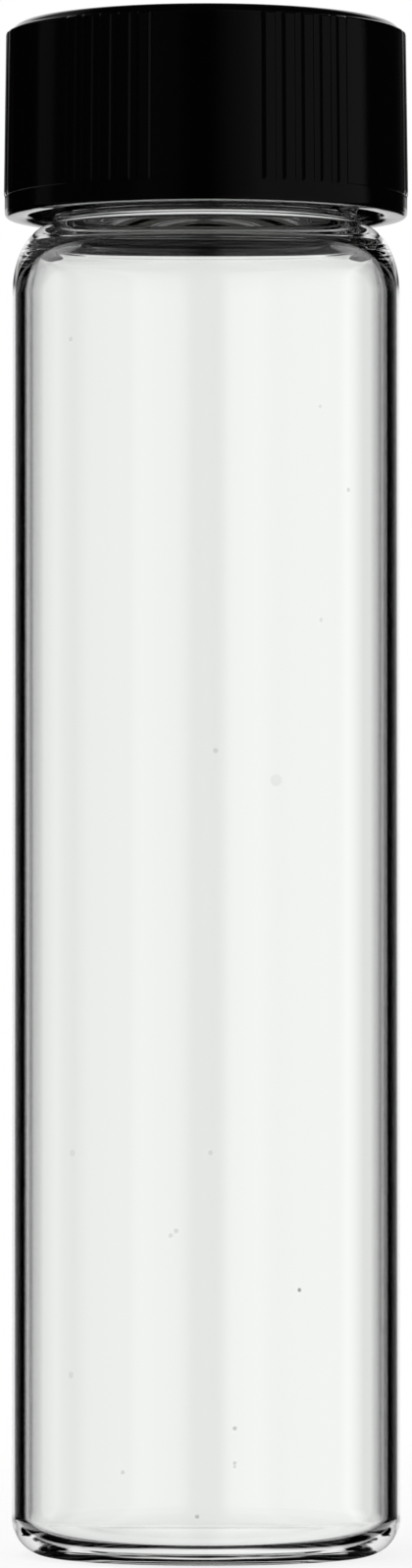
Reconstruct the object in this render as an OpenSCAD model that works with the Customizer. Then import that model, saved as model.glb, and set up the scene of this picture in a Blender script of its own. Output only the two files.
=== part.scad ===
// Glass sample vial with a screw thread finish, a ribbed screw cap and a sealing liner.
// Millimetres, +Z up. The origin is the centre of the ring that the vial stands on.

/* [Vial body] */
// Height of the glass, from the ring it stands on to the sealing land
vial_height = 85; // [60:0.5:110]
// Outside diameter of the straight glass wall
body_diameter = 22.2; // [20:0.1:27]
// Thickness of the straight glass wall
wall_thickness = 0.7; // [0.4:0.05:1.2]
// Thickness of the glass over the ring it stands on
base_thickness = 1; // [0.8:0.05:2]
// Radius of the rounded heel between the wall and the base
heel_radius = 2.1; // [1.2:0.1:2.5]
// Radius of the corner between the wall and the floor inside
inner_heel_radius = 1.3; // [1:0.1:1.6]
// Height of the push-up in the middle of the base
push_up = 0.5; // [0.2:0.05:1]

/* [Screw finish] */
// Outside diameter of the neck, between the threads
neck_diameter = 17.4; // [14:0.1:18]
// Thickness of the neck wall
neck_wall = 1.5; // [1:0.1:2.5]
// Height of the glass thread above the neck
thread_depth = 1.1; // [0.8:0.05:1.2]
// Rise of the thread in one turn
thread_pitch = 3.175; // [2.65:0.005:3.6]
// Turns of the glass thread
thread_turns = 1.22; // [0.9:0.01:1.3]
// Height of the finish, from the top of the shoulder to the sealing land
finish_height = 8.8; // [8.2:0.05:11]
// Height of the rounded shoulder, from the straight wall to the neck
shoulder_height = 3.9; // [2.5:0.05:5]

/* [Screw cap] */
// Thickness of the skirt wall at its lower end
skirt_wall = 1.4; // [1.1:0.05:2]
// Draft of the skirt in degrees, which narrows it towards the top
skirt_draft = 0.75; // [0:0.05:1]
// Gap between the closed cap and the top of the shoulder
skirt_gap = 0.4; // [0.1:0.05:1]
// Thickness of the top panel
cap_top = 1.75; // [1.2:0.05:2.5]
// Radius of the rounded top edge
cap_edge_radius = 1; // [0.8:0.1:1.3]
// Height of the plain band below the ribs
cap_band = 1.2; // [0.6:0.1:2]
// How far the plain band stands out from the skirt
band_step = 0.08; // [0.05:0.01:0.15]

/* [Cap ribs] */
// Groups of ribs around the skirt
rib_groups = 6; // [3:1:8]
// Ribs in one group
ribs_in_group = 5; // [2:1:6]
// Angle in degrees from one rib to the next
rib_angle = 6; // [5.5:0.5:7]
// Height of a rib above the skirt
rib_height = 0.14; // [0.1:0.01:0.2]
// Width of a rib where it meets the skirt
rib_width = 0.9; // [0.75:0.05:0.95]
// Width of the flat crest of a rib
rib_crest = 0.48; // [0.3:0.02:0.54]

/* [Liner] */
// Thickness of the sealing liner
liner_thickness = 1; // [0.6:0.1:1.5]

/* [Hidden] */

glass_colour = [0.9, 0.95, 0.94, 0.35];
phenolic_colour = [0.03, 0.03, 0.03];
liner_colour = [0.93, 0.93, 0.9];

// Fineness of the round surfaces, and of each curve in an outline
$fn = 144;
arc_steps = 10;

// Glass body and shoulder
body_r = body_diameter / 2;
bore_r = body_r - wall_thickness;
neck_r = neck_diameter / 2;
mouth_r = neck_r - neck_wall;
land_z = vial_height;
shoulder_top_z = land_z - finish_height;
shoulder_z = shoulder_top_z - shoulder_height;
neck_fillet = min(0.5, (body_r - neck_r) / 4);
lip_radius = 0.4 * neck_wall;
mouth_radius = 0.35 * neck_wall;

// Where the shoulder curve, counted in degrees from its foot, runs into the fillet of the neck
shoulder_end = 78;

// Inside of the shoulder: a tighter corner, then a cone that rises to the neck
inner_shoulder_drop = 0.15;
ceiling_share = 0.415;
inner_shoulder_z = shoulder_z - inner_shoulder_drop;
corner_width = 0.45 * (bore_r - mouth_r);
corner_height = 0.71 * shoulder_height;
ceiling_tilt = atan(ceiling_share * shoulder_height / (body_r - neck_r));
corner_end = atan(corner_height / (corner_width * tan(ceiling_tilt)));
ceiling_r = bore_r - corner_width * (1 - cos(corner_end));
ceiling_z = inner_shoulder_z + corner_height * sin(corner_end);
inner_neck_fillet = min(0.6, (bore_r - mouth_r) / 4);
inner_fillet_r = mouth_r + inner_neck_fillet;
inner_fillet_z = ceiling_z + inner_neck_fillet * cos(ceiling_tilt)
    + (ceiling_r - inner_fillet_r + inner_neck_fillet * sin(ceiling_tilt)) * tan(ceiling_tilt);

// Base, with a shallow dome above the ring and a lower one inside
foot_ring_r = body_r - heel_radius;
foot_ring_width = 1.6;
push_up_r = foot_ring_r - foot_ring_width;
floor_r = bore_r - inner_heel_radius;
floor_rise = 0.6 * push_up;

// Glass thread, a rounded bead that ends below the land
bead_end_depth = 2;
bead_end_z = land_z - bead_end_depth;
bead_start_z = bead_end_z - thread_pitch * thread_turns;
bead_half_width = 0.33 * thread_pitch;
bead_fade = 28;

// Cap and liner
bore_play = 0.35;
cap_bore_r = neck_r + thread_depth + bore_play;
cap_foot_r = cap_bore_r + skirt_wall;
cap_ceiling_z = land_z + liner_thickness;
cap_top_z = cap_ceiling_z + cap_top;
cap_bottom_z = shoulder_top_z + skirt_gap;
cap_mouth_chamfer = 0.3;
cap_foot_radius = 0.25;
band_edge = 0.03;
liner_play = 0.2;
liner_r = cap_bore_r - liner_play;
liner_edge = 0.1;

// Bead in the bore that keeps the liner in the cap
retainer_hold = 0.15;
retainer_r = liner_r - retainer_hold;
retainer_half_height = 0.22;
retainer_play = 0.12;
retainer_z = land_z - retainer_half_height - retainer_play;

// Cap thread, which lies just under the glass thread when the cap is closed
ridge_crest_play = 0.35;
ridge_crest_r = neck_r + ridge_crest_play;
ridge_base_half_width = 0.25 * thread_pitch;
ridge_crest_half_width = 0.1 * thread_pitch;
ridge_play = 0.15;
ridge_start_gap = 1.1;
ridge_start_z = cap_bottom_z + ridge_start_gap;
ridge_end_gap = 1.3;
ridge_end_z = retainer_z - ridge_end_gap;
ridge_start_angle = 360 * ((ridge_start_z - bead_start_z - ridge_play) / thread_pitch + 0.5);
ridge_turns = (ridge_end_z - ridge_start_z) / thread_pitch;
ridge_fade = 30;

// Thread sweeps: angle between two sections, and how far a root is sunk into its wall
thread_step = 7.5;
root_depth = 0.5;
surface_depth = 0.1;

// Ribs, whose heads run a little way onto the rounded edge. The slopes are those of their ends.
rib_bottom_z = cap_bottom_z + cap_band;
rib_soft_height = 0.16 * rib_height;
rib_soft_width = 0.07;
rib_sink = 0.03;
rib_overrun = 0.4 * cap_edge_radius;
rib_foot_slope = tan(60);
rib_head_slope = tan(30);
first_panel_angle = -89.8;

// Points of an elliptical arc about [r, z], from angle a to angle b
function arc(r, z, size_r, size_z, a, b) =
    [for (i = [0:arc_steps]) let (t = a + (b - a) * i / arc_steps)
        [r + size_r * cos(t), z + size_z * sin(t)]];

// Points of a shallow dome on a foot of radius r at height z, from the foot to the axis
function dome(r, z, rise) =
    let (sphere_r = (r * r + rise * rise) / (2 * rise))
    [for (i = [0:arc_steps]) let (x = r * (1 - i / arc_steps))
        [x, z + rise - sphere_r + sqrt(sphere_r * sphere_r - x * x)]];

function reversed(list) = [for (i = [len(list) - 1:-1:0]) list[i]];

// Outside of the glass, from the axis under the base up to the land
function glass_outside() = concat(
    reversed(dome(push_up_r, 0, push_up)),
    arc(foot_ring_r, heel_radius, heel_radius, heel_radius, -90, 0),
    arc(neck_r, shoulder_z, body_r - neck_r, shoulder_height, 0, shoulder_end),
    arc(neck_r + neck_fillet, shoulder_top_z + neck_fillet, neck_fillet, neck_fillet,
        180 + shoulder_end, 180),
    arc(neck_r - lip_radius, land_z - lip_radius, lip_radius, lip_radius, 0, 90)
);

// Inside of the glass, from the land down to the axis over the base
function glass_inside() = concat(
    arc(mouth_r + mouth_radius, land_z - mouth_radius, mouth_radius, mouth_radius, 90, 180),
    arc(inner_fillet_r, inner_fillet_z, inner_neck_fillet, inner_neck_fillet,
        180, 270 - ceiling_tilt),
    arc(bore_r - corner_width, inner_shoulder_z, corner_width, corner_height, corner_end, 0),
    arc(floor_r, base_thickness + inner_heel_radius, inner_heel_radius, inner_heel_radius, 0, -90),
    dome(floor_r, base_thickness, floor_rise)
);

// Share of the full thread height at the angle a of a thread of total degrees, which runs out
// smoothly over the last run degrees at both ends
function run_out(a, total, run) = sin(90 * min(1, a / run, (total - a) / run));

// Sweeps a list of thread sections, each a ring of [radius, height] points, along a right-handed
// helix of the given turns
module thread_sweep(sections, turns) {
    last_section = len(sections) - 1;
    ring = len(sections[0]);
    points = [for (i = [0:last_section]) let (t = 360 * turns * i / last_section)
        for (p = sections[i]) [p[0] * cos(t), p[0] * sin(t), p[1] + thread_pitch * t / 360]];
    sides = [for (i = [0:last_section - 1]) for (j = [0:ring - 1])
        let (a = i * ring + j, b = i * ring + (j + 1) % ring)
        each [[a, b, b + ring], [a, b + ring, a + ring]]];
    last = last_section * ring;
    start_face = [for (j = [1:ring - 2]) [0, j + 1, j]];
    end_face = [for (j = [1:ring - 2]) [last, last + j, last + j + 1]];
    polyhedron(points, concat(sides, start_face, end_face));
}

// Section of the glass bead at a share of its height: half an ellipse on a root in the neck wall
function bead_section(share) = concat(
    [[neck_r - root_depth, bead_half_width], [neck_r - root_depth, -bead_half_width]],
    [for (t = [-90:22.5:90])
        [neck_r - surface_depth + (thread_depth + surface_depth) * share * cos(t),
            bead_half_width * sin(t)]]
);

module glass_thread() {
    total = 360 * thread_turns;
    steps = ceil(total / thread_step);
    sections = [for (i = [0:steps]) bead_section(run_out(total * i / steps, total, bead_fade))];
    translate([0, 0, bead_start_z]) thread_sweep(sections, thread_turns);
}

module vial() {
    color(glass_colour) union() {
        rotate_extrude() polygon(concat(glass_outside(), glass_inside()));
        glass_thread();
    }
}

// Skirt radius at the height z
function skirt_r(z) = cap_foot_r - band_step - (z - cap_bottom_z) * tan(skirt_draft);

// Where the skirt meets the rounded top edge
edge_z = cap_top_z - cap_edge_radius;
edge_r = skirt_r(edge_z);

// Half section of the plain cap: top, edge, skirt, band, bore with the liner bead, ceiling
function cap_outline() = concat(
    [[0, cap_top_z]],
    arc(edge_r - cap_edge_radius, edge_z, cap_edge_radius, cap_edge_radius, 90, 0),
    [[skirt_r(rib_bottom_z), rib_bottom_z], [cap_foot_r - band_edge, rib_bottom_z],
        [cap_foot_r, rib_bottom_z - band_edge]],
    arc(cap_foot_r - cap_foot_radius, cap_bottom_z + cap_foot_radius, cap_foot_radius,
        cap_foot_radius, 0, -90),
    [[cap_bore_r + cap_mouth_chamfer, cap_bottom_z], [cap_bore_r, cap_bottom_z + cap_mouth_chamfer]],
    arc(cap_bore_r, retainer_z, cap_bore_r - retainer_r, retainer_half_height, -90, -270),
    [[cap_bore_r, cap_ceiling_z], [0, cap_ceiling_z]]
);

// Section of the cap thread at a share of its height: a narrow ridge with rounded corners
function ridge_section(share) =
    let (
        foot_r = cap_bore_r + surface_depth,
        height = (foot_r - ridge_crest_r) * share,
        corner = 0.15
    )
    [
        [cap_bore_r + root_depth, -ridge_base_half_width],
        [cap_bore_r + root_depth, ridge_base_half_width],
        [foot_r, ridge_base_half_width],
        [foot_r - height * (1 - corner), ridge_crest_half_width + corner / 2],
        [foot_r - height, ridge_crest_half_width - corner / 2],
        [foot_r - height, corner / 2 - ridge_crest_half_width],
        [foot_r - height * (1 - corner), -corner / 2 - ridge_crest_half_width],
        [foot_r, -ridge_base_half_width]
    ];

module cap_thread() {
    total = 360 * ridge_turns;
    steps = ceil(total / thread_step);
    sections = [for (i = [0:steps]) ridge_section(run_out(total * i / steps, total, ridge_fade))];
    rotate([0, 0, ridge_start_angle]) translate([0, 0, ridge_start_z])
        thread_sweep(sections, ridge_turns);
}

// One side of a rib's section, from its root in the skirt to its crest, softened at both corners
function rib_side() =
    let (half = rib_width / 2, crest = rib_crest / 2)
    [
        [-root_depth, half], [-rib_sink, half + rib_sink * rib_soft_width / rib_soft_height],
        [rib_soft_height, half - rib_soft_width],
        [rib_height - rib_soft_height, crest + rib_soft_width], [rib_height, crest]
    ];

// One rib, laid along the draft of the skirt and longer than it will be
module rib() {
    translate([skirt_r(rib_bottom_z), 0, rib_bottom_z])
        rotate([0, -skirt_draft, 0]) translate([0, 0, -root_depth])
            linear_extrude(cap_top_z - rib_bottom_z + root_depth) polygon(concat(
                [for (p = rib_side()) [p[0], -p[1]]],
                reversed(rib_side())
            ));
}

// All ribs, with both ends cut by the cones of a ring. The middle of a plain panel lies at +X.
module ribs() {
    inner_r = cap_foot_r - skirt_wall / 2;
    foot_z = rib_bottom_z - (cap_foot_r - inner_r) * rib_foot_slope;
    head_z = edge_z + rib_overrun + (edge_r + rib_height - inner_r) * rib_head_slope;
    ring_width = (head_z - foot_z) / (rib_foot_slope + rib_head_slope);
    intersection() {
        for (g = [0:rib_groups - 1]) for (i = [0:ribs_in_group - 1])
            rotate([0, 0, (g + 0.5) * 360 / rib_groups
                + (i - (ribs_in_group - 1) / 2) * rib_angle]) rib();
        rotate_extrude() polygon([
            [inner_r, foot_z],
            [inner_r + ring_width, foot_z + ring_width * rib_foot_slope],
            [inner_r, head_z]
        ]);
    }
}

module screw_cap() {
    color(phenolic_colour) union() {
        rotate([0, 0, first_panel_angle]) union() {
            rotate_extrude() polygon(cap_outline());
            ribs();
        }
        cap_thread();
    }
}

module cap_liner() {
    color(liner_colour) translate([0, 0, land_z])
        rotate_extrude() polygon([
            [0, 0], [liner_r - liner_edge, 0], [liner_r, liner_edge],
            [liner_r, liner_thickness - liner_edge], [liner_r - liner_edge, liner_thickness],
            [0, liner_thickness]
        ]);
}

vial();
screw_cap();
cap_liner();
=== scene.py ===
# %% [markdown]
# # A glass sample vial with a black screw cap
#
# This lesson builds the looks of a small laboratory vial around its measured model: a clear
# borosilicate body, a black phenolic screw cap and the white foam liner inside the cap. Each
# piece is a surface of revolution that numpy works out as one grid of points, and the screw
# bead, the thread and the ribs are pushed out of that grid. Glass shows only what is around it,
# so the backdrop and the dark surroundings get as much care as the pieces do.
#
# Lengths in the profiles are millimetres, and Blender gets metres. Up is Z, and the origin is
# the middle of the ring that the vial stands on.

# %% Load the measured model
import math

import bpy
import numpy as np
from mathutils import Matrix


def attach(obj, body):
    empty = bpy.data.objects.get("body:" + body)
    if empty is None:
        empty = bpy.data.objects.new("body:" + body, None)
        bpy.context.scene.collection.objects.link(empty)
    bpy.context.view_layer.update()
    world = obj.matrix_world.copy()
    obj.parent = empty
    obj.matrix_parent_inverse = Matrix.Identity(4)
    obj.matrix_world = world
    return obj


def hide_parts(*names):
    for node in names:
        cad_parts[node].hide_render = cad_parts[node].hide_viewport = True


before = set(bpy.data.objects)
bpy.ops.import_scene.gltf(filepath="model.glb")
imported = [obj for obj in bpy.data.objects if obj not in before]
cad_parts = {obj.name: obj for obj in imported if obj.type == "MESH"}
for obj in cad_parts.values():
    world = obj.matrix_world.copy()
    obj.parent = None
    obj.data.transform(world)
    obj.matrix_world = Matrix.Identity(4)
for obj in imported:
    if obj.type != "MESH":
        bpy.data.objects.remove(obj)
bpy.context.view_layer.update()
scene = bpy.context.scene
MM = 0.001

# %% [markdown]
# ## The camera
#
# A tall, narrow object is seen best from a little below its middle and from a distance, through a
# long lens: the upright sides then stay upright, and the cap is seen slightly from underneath.
# The camera could stay level with its picture shifted up, but tilting it by the angle that puts
# the middle of the vial in the middle of the picture is what a photographer would do. The tilt
# is the angle whose tangent is that height difference over the distance.

# %% Camera
CAMERA_DISTANCE = 468 * MM
CAMERA_HEIGHT = 32.7 * MM
PICTURE_CENTRE = 44.1 * MM
FOCAL_LENGTH = 187.45

lens = bpy.data.cameras.new("camera")
lens.lens = FOCAL_LENGTH
camera = bpy.data.objects.new("camera", lens)
camera.location = (0, -CAMERA_DISTANCE, CAMERA_HEIGHT)
tilt = math.atan2(PICTURE_CENTRE - CAMERA_HEIGHT, CAMERA_DISTANCE)
camera.rotation_euler = (math.pi / 2 + tilt, 0, 0)
scene.collection.objects.link(camera)
scene.camera = camera
print("camera tilted up by", round(math.degrees(tilt), 2), "degrees")

# %% [markdown]
# ## Colours and nodes
#
# A colour is written as a maker would note it, in sRGB hex, and Blender mixes light in linear
# values, so one function turns the one into the other. One more small function adds a node with
# its settings and its links, which keeps every material short enough to read as a recipe.

# %% Colour and node helpers
def colour(code):
    """Linear colour of an sRGB hex code: each channel over 1.055, after adding 0.055, to the
    power 2.4, or over 12.92 where it is very dark."""
    srgb = np.array([int(code[i:i + 2], 16) for i in (1, 3, 5)]) / 255
    linear = np.where(srgb <= 0.04045, srgb / 12.92, ((srgb + 0.055) / 1.055) ** 2.4)
    return (*linear.tolist(), 1)


def add(tree, kind, links=None, **settings):
    """Adds a node of that kind, sets its own settings, and fills its sockets. A socket gets a
    plain value, or another node's output, which is then linked to it."""
    node = tree.nodes.new("ShaderNode" + kind)
    for name, value in settings.items():
        setattr(node, name, value)
    for socket, value in (links or {}).items():
        if isinstance(value, bpy.types.NodeSocket):
            tree.links.new(value, node.inputs[socket])
        else:
            node.inputs[socket].default_value = value
    return node


def new_material(name):
    """An empty material with its nodes switched on, and the node tree to fill."""
    material = bpy.data.materials.new(name)
    material.use_nodes = True
    material.node_tree.nodes.clear()
    return material, material.node_tree


print("white in linear values:", colour("#FFFFFF"))

# %% [markdown]
# ## Turning a profile into a solid
#
# Glass tubing, moulded caps and punched discs are all round, so each piece is a half profile
# carried around the upright axis. The Screw modifier could spin a curve, but a grid that is
# worked out directly lets a thread or a rib push single points outwards. The first and the last
# point of the profile sit on the axis, and the last column meets the first, so the solid closes
# without a seam.

# %% Profile and solid helpers
def arc(r, z, size_r, size_z, start, end, steps=12):
    """Points of an elliptical arc about (r, z): the centre plus the cosine and the sine of an
    angle that runs evenly from start to end, each times its own half axis."""
    t = np.radians(np.linspace(start, end, steps + 1))
    return np.column_stack([r + size_r * np.cos(t), z + size_z * np.sin(t)])


def line(r0, z0, r1, z1, steps):
    """Evenly spaced points of a straight line, without its two ends."""
    t = np.linspace(0, 1, steps + 1)[1:-1, None]
    return (1 - t) * np.array([[r0, z0]]) + t * np.array([[r1, z1]])


def dome(r, z, rise, steps=10):
    """Points of a shallow dome from its foot at radius r to the axis. The sphere through both has
    the radius (r squared plus rise squared) over twice the rise."""
    sphere = (r * r + rise * rise) / (2 * rise)
    x = np.linspace(r, 0, steps + 1)
    return np.column_stack([x, z + rise - sphere + np.sqrt(sphere * sphere - x * x)])


def evenly(columns):
    """Angles in degrees of evenly spaced columns: the column number times 360 over their count."""
    return np.arange(columns) * 360 / columns


def solid_of_revolution(name, profile, angles, relief=None):
    """A closed solid: the point of row i and column j is profile i turned about Z by the angle j,
    and relief(angle, r, z) is added to its radius. The two ends of the profile lie on the axis,
    and are one point each."""
    columns = len(angles)
    rings = profile[1:-1]
    a, r = np.meshgrid(np.radians(angles), rings[:, 0])
    z = np.repeat(rings[:, 1:], columns, axis=1)
    if relief is not None:
        r = r + relief(a, r, z)
    grid = np.stack([r * np.cos(a), r * np.sin(a), z], axis=-1).reshape(-1, 3)
    poles = [[0, 0, profile[0, 1]], [0, 0, profile[-1, 1]]]
    points = np.vstack([grid, poles]) * MM
    here = np.arange(len(rings) * columns).reshape(len(rings), columns)
    right = np.roll(here, -1, axis=1)
    quads = np.stack([here[:-1], right[:-1], right[1:], here[1:]], axis=-1).reshape(-1, 4)
    first = np.stack([right[0], here[0], np.full(columns, len(grid))], axis=-1)
    last = np.stack([here[-1], right[-1], np.full(columns, len(grid) + 1)], axis=-1)
    mesh = bpy.data.meshes.new(name)
    mesh.from_pydata(points.tolist(), [], quads.tolist() + first.tolist() + last.tolist())
    mesh.polygons.foreach_set("use_smooth", np.ones(len(mesh.polygons), bool))
    mesh.update()
    piece = bpy.data.objects.new(name, mesh)
    scene.collection.objects.link(piece)
    print(name, "has", 2 * len(quads) + 2 * columns, "triangles, tallest point",
          round(points[:, 2].max() / MM, 2), "mm")
    return piece


def run_out(turned, total, run):
    """Share of the full thread height at an angle along the thread: the sine of a quarter turn
    over the last run degrees at both ends, 1 between them, and 0 beyond."""
    share = np.clip(np.minimum(turned / run, (total - turned) / run), 0, 1)
    return np.sin(np.pi / 2 * share)

# %% [markdown]
# ## The glass body
#
# A tubing vial starts as a drawn borosilicate tube. One end is closed in the flame into a base
# with a shallow push-up, and the other is rolled into a shoulder, a neck with a screw bead and a
# flat land that seals on the liner. The wall stays nearly as thin as the tube was. The whole body
# is one closed surface: up the outside, over the land and down the inside, so light bends at
# each face of the wall as it does in glass.

# %% Sizes of the body in millimetres
# a name that ends in R is a radius about the axis, and one that ends in Z is a height
BODY_R, BORE_R, NECK_R, MOUTH_R = 11.1, 10.4, 8.7, 7.2
LAND_Z, SHOULDER_TOP_Z, SHOULDER_Z = 85.0, 76.2, 72.3
HEEL, INNER_HEEL, BASE, PUSH_UP, PUSH_UP_R = 2.1, 1.3, 1.0, 0.5, 7.4
FLOOR_R = BORE_R - INNER_HEEL
INNER_PUSH_UP = 0.6 * PUSH_UP
# the shoulder is a part of an ellipse of that many degrees, with a fillet to the neck
SHOULDER_TURN, NECK_FILLET = 78, 0.5
LIP, INNER_LIP = 0.6, 0.525

# %% Sizes under the shoulder
# inside, the bore ends in an elliptical corner, a sloping ceiling and a fillet to the mouth
CORNER_Z, CORNER_R, CORNER_HEIGHT = 72.15, 8.96, 2.77
CEILING_TILT, CEILING_LENGTH, CEILING_FILLET = math.radians(34), 1.5, 0.6
slope = math.tan(CEILING_TILT)

# the corner ends where it is as steep as the ceiling: at the angle whose tangent is its height
# over its width times the slope. The ceiling is drawn on until it touches the fillet.
corner_end = math.atan(CORNER_HEIGHT / ((BORE_R - CORNER_R) * slope))
ceiling_r = CORNER_R + (BORE_R - CORNER_R) * math.cos(corner_end)
ceiling_z = CORNER_Z + CORNER_HEIGHT * math.sin(corner_end)
fillet_r = MOUTH_R + CEILING_FILLET
fillet_z = (ceiling_z + CEILING_FILLET * math.cos(CEILING_TILT)
            + (ceiling_r - fillet_r + CEILING_FILLET * math.sin(CEILING_TILT)) * slope)
print("the ceiling starts at radius", round(ceiling_r, 2), "and height", round(ceiling_z, 2))

# %% Profile of the body
outside = np.vstack([
    dome(PUSH_UP_R, 0, PUSH_UP)[::-1],
    arc(BODY_R - HEEL, HEEL, HEEL, HEEL, -90, 0, 24),
    line(BODY_R, HEEL, BODY_R, SHOULDER_Z, 12),
    arc(NECK_R, SHOULDER_Z, BODY_R - NECK_R, SHOULDER_TOP_Z - SHOULDER_Z, 0, SHOULDER_TURN, 36),
    arc(NECK_R + NECK_FILLET, SHOULDER_TOP_Z + NECK_FILLET, NECK_FILLET, NECK_FILLET,
        180 + SHOULDER_TURN, 180, 8),
    line(NECK_R, SHOULDER_TOP_Z + NECK_FILLET, NECK_R, LAND_Z - LIP, 70),
    arc(NECK_R - LIP, LAND_Z - LIP, LIP, LIP, 0, 90, 8),
])
inside = np.vstack([
    arc(MOUTH_R + INNER_LIP, LAND_Z - INNER_LIP, INNER_LIP, INNER_LIP, 90, 180, 8),
    arc(fillet_r, fillet_z, CEILING_FILLET, CEILING_FILLET, 180,
        270 - math.degrees(CEILING_TILT), 10),
    line(ceiling_r - CEILING_LENGTH, ceiling_z + CEILING_LENGTH * slope, ceiling_r, ceiling_z, 4),
    arc(CORNER_R, CORNER_Z, BORE_R - CORNER_R, CORNER_HEIGHT, math.degrees(corner_end), 0, 36),
    line(BORE_R, CORNER_Z, BORE_R, BASE + INNER_HEEL, 12),
    arc(FLOOR_R, BASE + INNER_HEEL, INNER_HEEL, INNER_HEEL, 0, -90, 24),
    dome(FLOOR_R, BASE, INNER_PUSH_UP),
])
print("the glass profile has", len(outside) + len(inside), "points")


# %% The screw bead and the body
PITCH, THREAD_DEPTH, THREAD_TURNS = 3.175, 1.1, 1.22
BEAD_TO_LAND, BEAD_HALF_WIDTH, BEAD_RUN_OUT = 2.0, 0.33 * PITCH, 28
BEAD_START_Z = LAND_Z - BEAD_TO_LAND - PITCH * THREAD_TURNS
# the ellipse of the bead is rooted that deep in the neck, so its flanks meet it at a slant
BEAD_ROOT = 0.1
TINY = 0.01


def glass_bead(angle, r, z):
    """Height of the screw bead on the neck. Its centre line climbs by one pitch a turn, and its
    section is half an ellipse: the square root of 1 minus the squared share of its half width.
    Two laps cover the turn and a bit that the bead goes round."""
    height = np.zeros_like(z)
    for lap in (0, 1):
        turned = np.degrees(angle) + 360 * lap
        share = (z - BEAD_START_Z - PITCH * turned / 360) / BEAD_HALF_WIDTH
        section = np.sqrt(np.clip(1 - share * share, 0, 1))
        depth = (THREAD_DEPTH + BEAD_ROOT) * run_out(turned, 360 * THREAD_TURNS, BEAD_RUN_OUT)
        height = np.maximum(height, depth * section - BEAD_ROOT)
    on_neck = (r > NECK_R - TINY) & (z > SHOULDER_TOP_Z)
    return np.where(on_neck, height, 0)


glass_body = solid_of_revolution("glass_body", np.vstack([outside, inside]), evenly(360),
                                 glass_bead)

# %% [markdown]
# ## The screw cap
#
# The cap is moulded in black phenolic. Five fine ribs in each of six groups give the fingers a
# grip, a plain band closes the skirt below them, and inside runs the thread that climbs the bead
# on the glass. Separate bars joined by a Boolean modifier would leave ragged edges. Ribs and
# thread are reliefs on the same closed grid, which keeps the cap one skin, as the moulding is.

# %% Sizes of the cap in millimetres
CAP_BORE_R, SKIRT_WALL = 10.15, 1.4
CAP_FOOT_R = CAP_BORE_R + SKIRT_WALL
CAP_BOTTOM_Z, CAP_CEILING_Z, CAP_TOP_Z = 76.6, 86.0, 87.75
CAP_EDGE, DRAFT = 1.0, math.tan(math.radians(0.75))
# the plain band stands out from the skirt by its step, with a round crest and a round hollow
BAND_HEIGHT, BAND_STEP, BAND_CREST, BAND_HOLLOW, BAND_TURN = 1.2, 0.08, 0.04, 0.03, 75
RIB_BOTTOM_Z = CAP_BOTTOM_Z + BAND_HEIGHT
# under the ceiling runs a low bead that keeps the liner in
RETAINER_R, RETAINER_Z, RETAINER_HALF = 9.8, 84.66, 0.22
CAP_CORNER, BORE_LIP, SKIRT_LIP = 0.1, 0.3, 0.25


def skirt_r(z):
    """Radius of the plain skirt: that of the foot less the step, and less the height above the
    foot times the draft."""
    return CAP_FOOT_R - BAND_STEP - (z - CAP_BOTTOM_Z) * DRAFT


edge_z = CAP_TOP_Z - CAP_EDGE
edge_r = skirt_r(edge_z)
print("the skirt is", round(2 * skirt_r(RIB_BOTTOM_Z), 2), "mm wide at the band and",
      round(2 * edge_r, 2), "mm at the top edge")

# %% Profile of the cap
# rows of points stand close together where the thread runs and at the feet of the ribs
BORE_ROWS_TOP_Z, BORE_ROWS_FOOT_Z = RETAINER_Z - 0.3, CAP_BOTTOM_Z + 0.34
BAND_ROWS_TOP_Z, RIB_FEET_TOP_Z = RIB_BOTTOM_Z - 0.05, RIB_BOTTOM_Z + 0.4
cap_profile = np.vstack([
    [[0, CAP_CEILING_Z]],
    line(0, CAP_CEILING_Z, CAP_BORE_R, CAP_CEILING_Z, 5),
    arc(CAP_BORE_R - CAP_CORNER, CAP_CEILING_Z - CAP_CORNER, CAP_CORNER, CAP_CORNER, 90, 0, 2),
    arc(CAP_BORE_R, RETAINER_Z, RETAINER_R - CAP_BORE_R, RETAINER_HALF, 90, -90, 8),
    line(CAP_BORE_R, BORE_ROWS_TOP_Z, CAP_BORE_R, BORE_ROWS_FOOT_Z, 34),
    arc(CAP_BORE_R + BORE_LIP, CAP_BOTTOM_Z + BORE_LIP, BORE_LIP, BORE_LIP, 180, 270, 4),
    arc(CAP_FOOT_R - SKIRT_LIP, CAP_BOTTOM_Z + SKIRT_LIP, SKIRT_LIP, SKIRT_LIP, -90, 0, 6),
    line(CAP_FOOT_R, CAP_BOTTOM_Z + SKIRT_LIP, CAP_FOOT_R, BAND_ROWS_TOP_Z, 5),
    arc(CAP_FOOT_R - BAND_CREST, RIB_BOTTOM_Z - BAND_CREST, BAND_CREST, BAND_CREST,
        0, BAND_TURN, 5),
    arc(skirt_r(RIB_BOTTOM_Z) + BAND_HOLLOW, RIB_BOTTOM_Z + BAND_HOLLOW, BAND_HOLLOW,
        BAND_HOLLOW, 180 + BAND_TURN, 180, 5),
    line(skirt_r(RIB_BOTTOM_Z), RIB_BOTTOM_Z + BAND_HOLLOW, skirt_r(RIB_FEET_TOP_Z),
         RIB_FEET_TOP_Z, 9),
    line(skirt_r(RIB_FEET_TOP_Z), RIB_FEET_TOP_Z, edge_r, edge_z, 8),
    arc(edge_r - CAP_EDGE, edge_z, CAP_EDGE, CAP_EDGE, 0, 90, 24),
    line(edge_r - CAP_EDGE, CAP_TOP_Z, 0, CAP_TOP_Z, 5),
    [[0, CAP_TOP_Z]],
])
print("the cap profile has", len(cap_profile), "points")

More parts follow.
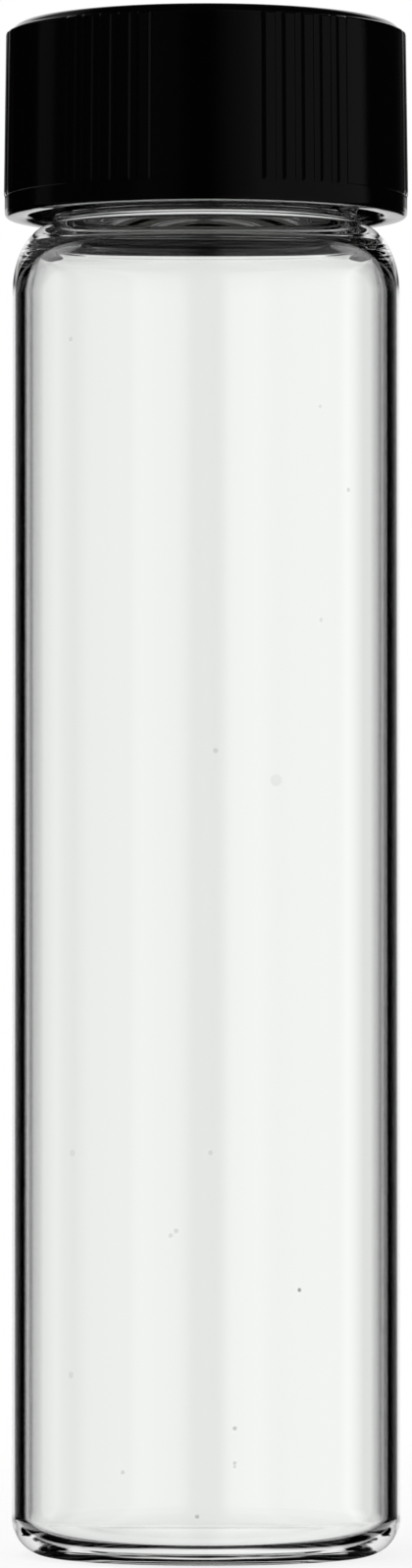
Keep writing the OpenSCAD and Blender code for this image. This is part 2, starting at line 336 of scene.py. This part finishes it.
# %% Ribs on the skirt
RIB_GROUPS, RIBS, RIB_ANGLE, FIRST_GROUP = 6, 5, 6.0, -59.8
RIB_HEIGHT, RIB_OVERRUN, HEAD_SLOPE = 0.14, 0.4, math.tan(math.radians(30))
FOOT_FADE, FOOT_RISE = 0.3, 0.1
# height of a rib's flank over its distance from the middle, softened at its foot and its crest
FLANK_AT = [0.24, 0.31, 0.38, 0.45, 0.48]
FLANK_HEIGHT = [RIB_HEIGHT, 0.118, 0.022, 0, -0.01]
MIDDLE_OF_WALL = CAP_BORE_R + 0.5


def cap_ribs(degrees, r, z):
    """Height of the ribs. The angle within a group, and from it the distance to the nearest rib's
    middle, is the rest after whole groups and ribs are taken off. Across its width a rib follows
    the table of its flank. At the band it grows evenly, by FOOT_RISE over FOOT_FADE. A flat cone
    cuts its head where it runs onto the rounded edge. The lowest of the three holds."""
    group = (degrees - FIRST_GROUP + 180 / RIB_GROUPS) % (360 / RIB_GROUPS) - 180 / RIB_GROUPS
    rib = np.clip(np.round(group / RIB_ANGLE), -(RIBS - 1) / 2, (RIBS - 1) / 2)
    off = np.radians(np.abs(group - rib * RIB_ANGLE)) * skirt_r(z)
    crest = skirt_r(z) + np.interp(off, FLANK_AT, FLANK_HEIGHT)
    foot = CAP_FOOT_R + np.clip((z - RIB_BOTTOM_Z) / FOOT_FADE, 0, 1) * FOOT_RISE
    head = (skirt_r(np.minimum(z, edge_z)) + RIB_HEIGHT
            - np.clip(z - edge_z - RIB_OVERRUN, 0, None) / HEAD_SLOPE)
    on_skirt = (r > MIDDLE_OF_WALL) & (z > RIB_BOTTOM_Z - TINY)
    return np.where(on_skirt, np.clip(np.minimum(np.minimum(crest, foot), head) - r, 0, None), 0)


print("the cap has", RIB_GROUPS * RIBS, "ribs")

# %% Thread in the bore
RIDGE_START_Z, RIDGE_CREST_R = CAP_BOTTOM_Z + 1.1, NECK_R + 0.35
RIDGE_TURNS = (RETAINER_Z - 1.3 - RIDGE_START_Z) / PITCH
# half a pitch from the bead, and a little lower, so the cap's thread pulls under the bead
RIDGE_LOWERED = 0.15
RIDGE_START = 360 * ((RIDGE_START_Z - BEAD_START_Z - RIDGE_LOWERED) / PITCH + 0.5)
RIDGE_HALF_WIDTH, RIDGE_FLANK, RIDGE_RUN_OUT = 0.25 * PITCH, 0.15 * PITCH, 30
THREAD_TOP_Z = RETAINER_Z - 0.25


def cap_thread(degrees, r, z):
    """Depth of the thread, a narrow ridge that points inwards. Its share rises from its foot to
    its crest as a smooth step: 3 times the squared share of the flank, less twice its cube."""
    ridge = np.zeros_like(z)
    for lap in range(-1, 5):
        turned = degrees - RIDGE_START + 360 * lap
        away = np.abs(z - RIDGE_START_Z - PITCH * turned / 360)
        flank = np.clip((RIDGE_HALF_WIDTH - away) / RIDGE_FLANK, 0, 1)
        full = run_out(turned, 360 * RIDGE_TURNS, RIDGE_RUN_OUT)
        ridge = np.maximum(ridge, full * flank * flank * (3 - 2 * flank))
    in_bore = (np.abs(r - CAP_BORE_R) < TINY) & (z < THREAD_TOP_Z)
    return np.where(in_bore, ridge * (CAP_BORE_R - RIDGE_CREST_R), 0)


print("the cap's thread has", round(RIDGE_TURNS, 2), "turns")


# %% The cap
def cap_relief(angle, r, z):
    """The ribs less the thread, because ribs point outwards and the thread inwards."""
    degrees = np.degrees(angle)
    return cap_ribs(degrees, r, z) - cap_thread(degrees, r, z)


# columns stand close together at the corners of the ribs, here in degrees from a rib's middle,
# and wide apart on the plain panels
HALF_RIB = np.array([0.6, 1.1, 1.2, 1.34, 1.54, 1.7, 1.88, 2.05, 2.25, 2.4, 2.65])
PANEL = np.arange(15.5, 45, 1.5)
rib_columns = np.concatenate([-HALF_RIB[::-1], [0], HALF_RIB])
group_columns = np.concatenate([(i - (RIBS - 1) / 2) * RIB_ANGLE + rib_columns
                                for i in range(RIBS)] + [PANEL])
cap_columns = np.sort(np.concatenate([FIRST_GROUP + g * 360 / RIB_GROUPS + group_columns
                                      for g in range(RIB_GROUPS)]) % 360)
screw_cap = solid_of_revolution("phenolic_cap", cap_profile, cap_columns, cap_relief)

# %% [markdown]
# ## The liner
#
# The liner is a disc punched from white foamed polyethylene. It sits under the top of the cap
# and is pressed on the land of the glass. A cylinder with a bevel would do, but the same profile
# helper keeps it one closed skin with the softly rounded edge that cut foam has.

# %% The liner
LINER_R, LINER_EDGE = 9.95, 0.12
liner_profile = np.vstack([
    [[0, LAND_Z]],
    line(0, LAND_Z, LINER_R - LINER_EDGE, LAND_Z, 24),
    arc(LINER_R - LINER_EDGE, LAND_Z + LINER_EDGE, LINER_EDGE, LINER_EDGE, -90, 0, 6),
    arc(LINER_R - LINER_EDGE, CAP_CEILING_Z - LINER_EDGE, LINER_EDGE, LINER_EDGE, 0, 90, 6),
    line(LINER_R - LINER_EDGE, CAP_CEILING_Z, 0, CAP_CEILING_Z, 12),
    [[0, CAP_CEILING_Z]],
])
liner = solid_of_revolution("foam_liner", liner_profile, evenly(180))

# %% [markdown]
# ## Clear borosilicate glass
#
# Borosilicate bends light with an index of 1.474 and is nearly colourless, with a trace of green
# from iron. The surface was never ground or pressed: fire leaves it perfectly smooth, so its
# roughness is 0. What gives it away as a drawn tube are very shallow streaks along its length,
# about 1.5 mm apart, which bend a reflection without dulling it. The Principled shader with full
# transmission does both the mirror and the bending, and it can be exported. A few dust specks
# sit on the front of the wall. Each is a small ball in space that darkens the skin it cuts.

# %% Streaks in the glass
STREAK_SPACING, STREAK_DEPTH, STREAK_STRETCH = 1.5 * MM, 0.001 * MM, 50
glass, tree = new_material("drawn_borosilicate_glass")
place = add(tree, "TexCoord")
stretched = add(tree, "Mapping", {"Vector": place.outputs["Object"],
                                  "Scale": (1, 1, 1 / STREAK_STRETCH)})
streaks = add(tree, "TexNoise", {"Vector": stretched.outputs["Vector"],
                                 "Scale": 1 / STREAK_SPACING, "Detail": 1, "Roughness": 0.4})
ripple = add(tree, "Bump", {"Height": streaks.outputs["Fac"], "Strength": 1,
                            "Distance": STREAK_DEPTH})
print("a streak is about", round(STREAK_STRETCH * STREAK_SPACING / MM), "mm long")

# %% Dust specks
# side and height of each speck in mm, its radius, and the share of the light that it stops.
# The shader lets through the square root of its colour, so the colour falls by the square.
SPECKS = [
    (5.23, 15.49, 0.13, 0.56), (-1.98, 18.58, 0.14, 0.16), (-1.67, 18.83, 0.14, 0.18),
    (-0.50, 2.89, 0.13, 0.33), (1.61, 7.81, 0.13, 0.33), (1.60, 5.87, 0.11, 0.27),
    (1.60, 5.68, 0.10, 0.20), (0.54, 45.70, 0.16, 0.18), (8.03, 60.52, 0.14, 0.22),
    (-7.63, 69.02, 0.15, 0.14), (-7.59, 10.65, 0.21, 0.11), (-4.66, 5.31, 0.13, 0.21),
    (0.26, 23.20, 0.15, 0.13), (6.42, 65.15, 0.12, 0.14), (6.47, 53.12, 0.14, 0.14),
    (-7.51, 23.13, 0.22, 0.10), (3.93, 44.06, 0.37, 0.09)]
SPECK_RIM, SPECK_CORE = 1.1, 0.7
dusty = 0.0
for side, height, size, stopped in SPECKS:
    centre = (side * MM, -math.sqrt(BODY_R ** 2 - side ** 2) * MM, height * MM)
    near = add(tree, "VectorMath", {0: place.outputs["Object"], 1: centre}, operation="DISTANCE")
    speck = add(tree, "MapRange", {
        "Value": near.outputs["Value"], "From Min": SPECK_RIM * size * MM,
        "From Max": SPECK_CORE * size * MM, "To Max": 1 - (1 - stopped) ** 2})
    dusty = add(tree, "Math", {0: dusty, 1: speck.outputs["Result"]},
                operation="MAXIMUM").outputs[0]
print(len(SPECKS), "specks, the widest", 2 * max(size for _, _, size, _ in SPECKS), "mm")

# %% Glass material
tint = add(tree, "Mix", {"Factor": dusty, "A": colour("#FEFFFE"), "B": colour("#000000")},
           data_type="RGBA")
surface = add(tree, "BsdfPrincipled", {
    "Base Color": tint.outputs["Result"], "Roughness": 0.0, "IOR": 1.474,
    "Transmission Weight": 1.0, "Normal": ripple.outputs["Normal"]})
add(tree, "OutputMaterial", {"Surface": surface.outputs["BSDF"]})
glass_body.data.materials.append(glass)
print(glass.name, "has", len(tree.nodes), "nodes")

# %% [markdown]
# ## Moulded phenolic
#
# Phenolic is a hard resin, pressed hot as a powder in a polished steel mould, so the cap comes
# out deep black and glossy. The wood flour that fills it leaves a fine unevenness, which the eye
# only reads as a reflection that isn't quite sharp. The noise therefore drives both a very small
# bump and the roughness. The real grains are about a tenth of a millimetre and too fine to show,
# so they are drawn 0.4 mm wide. The index of 1.6 is higher than that of most plastics, which
# makes the bright edge at a flat angle stronger.

# %% Phenolic material
GRAIN_SIZE, GRAIN_DEPTH = 0.4 * MM, 0.01 * MM
phenolic, tree = new_material("moulded_black_phenolic")
place = add(tree, "TexCoord")
grain = add(tree, "TexNoise", {"Vector": place.outputs["Object"], "Scale": 1 / GRAIN_SIZE,
                               "Detail": 2})
peel = add(tree, "Bump", {"Height": grain.outputs["Fac"], "Strength": 0.3,
                          "Distance": GRAIN_DEPTH})
polish = add(tree, "MapRange", {"Value": grain.outputs["Fac"], "To Min": 0.08,
                                "To Max": 0.14})
surface = add(tree, "BsdfPrincipled", {
    "Base Color": colour("#020202"), "Roughness": polish.outputs["Result"], "IOR": 1.6,
    "Normal": peel.outputs["Normal"]})
add(tree, "OutputMaterial", {"Surface": surface.outputs["BSDF"]})
screw_cap.data.materials.append(phenolic)
print(phenolic.name, "has", len(tree.nodes), "nodes")

# %% [markdown]
# ## Foamed polyethylene
#
# The sheet that the liner is punched from was blown with fine bubbles, about 0.3 mm wide. The
# ones at the surface are open, so the disc is matt and dimpled, and each dimple is painted a
# little greyer as painted shade. A noise would only give soft lumps. A Voronoi pattern has a cell
# for each bubble, and the distance to the middle of the cell gives the dimple, its painted shade
# and the roughness at once.

# %% Foam material
BUBBLE_SIZE, DIMPLE_DEPTH = 0.3 * MM, 0.05 * MM
foam, tree = new_material("foamed_polyethylene")
place = add(tree, "TexCoord")
cells = add(tree, "TexVoronoi", {"Vector": place.outputs["Object"], "Scale": 1 / BUBBLE_SIZE})
dents = add(tree, "Bump", {"Height": cells.outputs["Distance"], "Strength": 0.5,
                           "Distance": DIMPLE_DEPTH})
# painted shade: the middle of each dimple, where the bump is lowest, is painted greyer
dimple_shade_tone = add(tree, "Mix", {"Factor": cells.outputs["Distance"], "A": colour("#E3E2DA"),
                         "B": colour("#F1F0EA")}, data_type="RGBA")
matt_skin = add(tree, "MapRange", {"Value": cells.outputs["Distance"], "To Min": 0.78,
                                   "To Max": 0.6})
surface = add(tree, "BsdfPrincipled", {
    "Base Color": dimple_shade_tone.outputs["Result"], "Roughness": matt_skin.outputs["Result"], "IOR": 1.5,
    "Normal": dents.outputs["Normal"]})
add(tree, "OutputMaterial", {"Surface": surface.outputs["BSDF"]})
liner.data.materials.append(foam)
print(foam.name, "has", len(tree.nodes), "nodes")

# %% [markdown]
# ## Which piece stands for what
#
# Each finished surface takes the place of one node of the measured model and rides on the body
# of that node, so the cap and its liner turn and rise when the cap is unscrewed.

# %% Who moves with what
for piece, node, body, slot in (
        (glass_body, "vial", "vial", "clear_glass"),
        (screw_cap, "screw_cap", "cap", "black_phenolic"),
        (liner, "cap_liner", "liner", "liner_foam")):
    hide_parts(node)
    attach(piece, body)
    print(piece.name, "replaces", node, "and rides on", body)

# %% [markdown]
# ## The surroundings
#
# A clear vial has hardly any colour of its own: it is drawn by what stands around it. On a light
# table in front of a white backdrop, with everything beside the backdrop dark, the edges of the
# glass turn into thin black lines and its middle stays white. Cards and lamps would do this, but
# they would also throw light on the floor. A world that answers each kind of ray by itself keeps
# it simple. A camera ray meets plain white. A ray that went through glass meets the backdrop and
# the room at the level written for its direction. A mirrored ray meets a dark room with a dim
# window, which is what lets the ribs of the black cap show. Any other ray meets an even, soft
# light.
#
# A direction is a bearing, the angle around the vial whose tangent is its left part over its
# backward part, and a rise, the angle above the horizon whose sine is its upward part.

# %% Directions
world = bpy.data.worlds.new("studio")
scene.world = world
world.use_nodes = True
tree = world.node_tree
tree.nodes.clear()
way = add(tree, "TexCoord")
split = add(tree, "SeparateXYZ", {"Vector": way.outputs["Generated"]})
left = add(tree, "Math", {0: split.outputs["X"], 1: -1.0}, operation="MULTIPLY")
bearing = add(tree, "Math", {0: left.outputs[0], 1: split.outputs["Y"]}, operation="ARCTAN2")
rise = add(tree, "Math", {0: split.outputs["Z"]}, operation="ARCSINE")
round_share = add(tree, "MapRange", {"Value": bearing.outputs[0], "From Min": -math.pi,
                                     "From Max": math.pi})
# the backdrop gets a scale of its own, because a ramp has only 256 steps from end to end
BACK_SPAN = 40
back_share = add(tree, "MapRange", {"Value": bearing.outputs[0],
                                    "From Min": math.radians(-BACK_SPAN / 2),
                                    "From Max": math.radians(BACK_SPAN / 2)})
rise_share = add(tree, "MapRange", {"Value": rise.outputs[0], "From Min": -math.pi / 2,
                                    "From Max": math.pi / 2})
print("one step of the backdrop's ramp is", round(BACK_SPAN / 256, 2), "degrees")

# %% Levels by direction
# pairs of an angle in degrees and a level. A bearing is 0 behind the vial, 90 to its left, -90
# to its right and 180 at the camera, and a rise is 0 at the horizon and 90 overhead. THROUGH is
# met through the glass and GLOSS in a reflection. BACK is the backdrop and its soft edges, with
# the folds that give the glass its upright stripes, and SIDES is the bright room far to the side.
THROUGH_BACK = [(-15, 0), (-14, 0.02), (-12, 0.48), (-9.7, 0.73), (-7.5, 0.74), (-6.2, 0.9),
                (-5.2, 1), (-4.3, 0.94), (-1.35, 0.92), (-1.15, 0.945), (-0.45, 0.925),
                (-0.25, 0.895), (0.35, 0.885), (0.6, 0.9), (1.5, 0.93), (1.7, 0.89), (3.3, 0.87),
                (4.3, 0.805), (5.1, 0.825), (6.1, 0.875), (7.4, 0.83), (9.4, 0.73), (11, 0.64),
                (13, 0.47), (14.5, 0)]
THROUGH_SIDES = [(-180, 0.3), (-173, 0.45), (-166, 1), (-44, 1), (-41, 0), (38, 0), (41, 1),
                 (125, 1), (131, 0.85), (137, 1), (163, 1), (172, 0.15), (176, 0.12), (180, 0.3)]
RISE_THROUGH_BACK = [(-90, 0), (-58, 0), (-50, 1), (30, 1), (40, 0), (90, 0)]
RISE_THROUGH_SIDES = [(-90, 0.1), (-50, 0.2), (-30, 0.6), (-9, 1), (14, 1), (22, 0.25),
                      (50, 0.2), (90, 0)]
GLOSS_ROOM = [(-180, 0), (-177, 0), (-167, 0.04), (-156, 0.065), (-149, 0.1), (-78, 0.105),
              (-72, 0.002), (-36, 0.002), (-26, 0.01), (26, 0), (64, 0), (67, 0.035),
              (79, 0.035), (83, 0.005), (136, 0.01), (142, 0.025), (164, 0.015), (170, 0),
              (180, 0)]
RISE_GLOSS_ROOM = [(-90, 0), (-60, 1), (60, 1), (90, 0.4)]
GLOSS_BACK = [(-24, 0), (-19, 0.95), (19, 0.95), (24, 0)]
RISE_GLOSS_BACK = [(-9, 0), (-7, 1), (5.2, 1), (5.4, 0.15), (6.9, 0.15), (7.2, 1), (28, 1),
                   (38, 0)]
GLOSS_WINDOW = [(20, 0), (32, 1), (60, 1), (72, 0)]
RISE_GLOSS_WINDOW = [(12, 0), (18, 0.14), (42, 0.14), (52, 0)]
print("the backdrop has", len(THROUGH_BACK), "levels and the room", len(GLOSS_ROOM))


# %% Patches of the surroundings
def patch(around_share, around, span, up):
    """Level of one patch of the surroundings: its level by bearing times its level by rise. A
    share runs from 0 to 1 over its whole span in degrees, so a stop stands at one half plus its
    angle over the span."""
    levels = {}
    for part, (share, stops, degrees) in enumerate(((around_share, around, span),
                                                    (rise_share, up, 180))):
        ramp = add(tree, "ValToRGB", {"Fac": share.outputs["Result"]})
        points = ramp.color_ramp.elements
        while len(points) < len(stops):
            points.new(1.0)
        for point, (angle, level) in zip(points, stops):
            point.position = 0.5 + angle / degrees
            point.color = (level, level, level, 1)
        levels[part] = ramp.outputs["Color"]
    return add(tree, "Math", levels, operation="MULTIPLY").outputs[0]


# where patches overlap, the brighter one counts
through = add(tree, "Math", {
    0: patch(back_share, THROUGH_BACK, BACK_SPAN, RISE_THROUGH_BACK),
    1: patch(round_share, THROUGH_SIDES, 360, RISE_THROUGH_SIDES)},
    operation="MAXIMUM").outputs[0]
gloss = 0.0
for around, up in ((GLOSS_ROOM, RISE_GLOSS_ROOM), (GLOSS_BACK, RISE_GLOSS_BACK),
                   (GLOSS_WINDOW, RISE_GLOSS_WINDOW)):
    gloss = add(tree, "Math", {0: gloss, 1: patch(round_share, around, 360, up)},
                operation="MAXIMUM").outputs[0]
print("the surroundings have", len(tree.nodes), "nodes")

# %% Which ray meets what
SOFT_LIGHT = 0.6
path = add(tree, "LightPath")
mirrored = add(tree, "Mix", {"Factor": path.outputs["Is Glossy Ray"], "A": SOFT_LIGHT,
                             "B": gloss}, data_type="FLOAT")
seen_through = add(tree, "Mix", {"Factor": path.outputs["Is Transmission Ray"],
                                 "A": mirrored.outputs[0], "B": through}, data_type="FLOAT")
strength = add(tree, "Mix", {"Factor": path.outputs["Is Camera Ray"],
                             "A": seen_through.outputs[0], "B": 1.0}, data_type="FLOAT")
light = add(tree, "Background", {"Color": colour("#FFFFFF"), "Strength": strength.outputs[0]})
add(tree, "OutputWorld", {"Surface": light.outputs["Background"]})
print("plain surfaces are lit at", SOFT_LIGHT)

# %% [markdown]
# ## The floor
#
# The vial stands on white paper that curves up behind it, so no horizon shows. A round sheet is
# enough: near the vial it is matt paper that takes its soft shadow, and further out it fades
# into the white behind. For the camera most of its brightness is its own, which keeps it as white
# as the background. Rays through the glass pass it by, so the dark lines in the heel stay clean.

# %% Floor
FLOOR_SIZE, FLOOR_POINTS, FLOOR_Z = 120 * MM, 96, -0.02 * MM
floor_mesh = bpy.data.meshes.new("floor")
turn = np.radians(evenly(FLOOR_POINTS))
rim = np.column_stack([np.cos(turn) * FLOOR_SIZE, np.sin(turn) * FLOOR_SIZE,
                       np.full(FLOOR_POINTS, FLOOR_Z)])
floor_mesh.from_pydata(rim.tolist(), [], [list(range(FLOOR_POINTS))])
floor = bpy.data.objects.new("floor", floor_mesh)
scene.collection.objects.link(floor)
print("the floor is", round(2 * FLOOR_SIZE / MM), "mm across")

# %% Paper material
FADE_START, FADE_END, SELF_LIT = 45 * MM, 115 * MM, 0.85
paper, tree = new_material("white_paper_sweep")
place = add(tree, "TexCoord")
away = add(tree, "VectorMath", {0: place.outputs["Object"]}, operation="LENGTH")
far = add(tree, "MapRange", {"Value": away.outputs["Value"], "From Min": FADE_START,
                             "From Max": FADE_END})
path = add(tree, "LightPath")
share = add(tree, "Math", {0: path.outputs["Is Camera Ray"], 1: SELF_LIT}, operation="MULTIPLY")
matt = add(tree, "BsdfDiffuse", {"Color": colour("#F2F2F0")})
lit = add(tree, "Emission", {"Color": colour("#FFFFFF"), "Strength": 1.0})
sheet = add(tree, "MixShader", {0: share.outputs[0], 1: matt.outputs[0], 2: lit.outputs[0]})
clear = add(tree, "BsdfTransparent")
faded = add(tree, "MixShader", {0: far.outputs[0], 1: sheet.outputs[0], 2: clear.outputs[0]})
add(tree, "OutputMaterial", {"Surface": faded.outputs[0]})
floor_mesh.materials.append(paper)
floor.visible_transmission = False
floor.visible_glossy = False
print(paper.name, "has", len(tree.nodes), "nodes")

# %% [markdown]
# ## The lamp
#
# One soft box hangs above, a little to the left. It gives the foam liner and the paper a gentle
# direction, where a sun would draw a hard shadow. Neither glass nor gloss sees it, because the
# surroundings already say what they meet.

# %% Lamp
LAMP_WIDTH, LAMP_LENGTH, LAMP_WATTS = 350 * MM, 250 * MM, 1.2
LAMP_PLACE = (-120 * MM, -50 * MM, 550 * MM)
LAMP_TURN = (math.radians(8), math.radians(-14), 0)
lamp = bpy.data.lights.new("overhead_softbox", "AREA")
lamp.shape = "RECTANGLE"
lamp.size, lamp.size_y = LAMP_WIDTH, LAMP_LENGTH
lamp.energy = LAMP_WATTS
softbox = bpy.data.objects.new("overhead_softbox", lamp)
softbox.location = LAMP_PLACE
softbox.rotation_euler = LAMP_TURN
softbox.visible_camera = False
softbox.visible_glossy = False
softbox.visible_transmission = False
scene.collection.objects.link(softbox)
print("the lamp hangs", round(LAMP_PLACE[2] / MM), "mm above the floor")

# %% [markdown]
# ## Light inside the glass
#
# A ray that enters the screw bead or the heel is mirrored several times before it comes out. With
# the usual limit it would end there and leave black spots, so the limits are raised.

# %% Limits of the bounces
scene.cycles.max_bounces = 24
scene.cycles.glossy_bounces = 16
scene.cycles.transmission_bounces = 24
print("a ray may bounce", scene.cycles.max_bounces, "times")

# %% [markdown]
# ## The view transform
#
# The picture is shown through the Standard view transform, so that a strength of 1 is white.

# %% View transform
scene.view_settings.view_transform = "Standard"
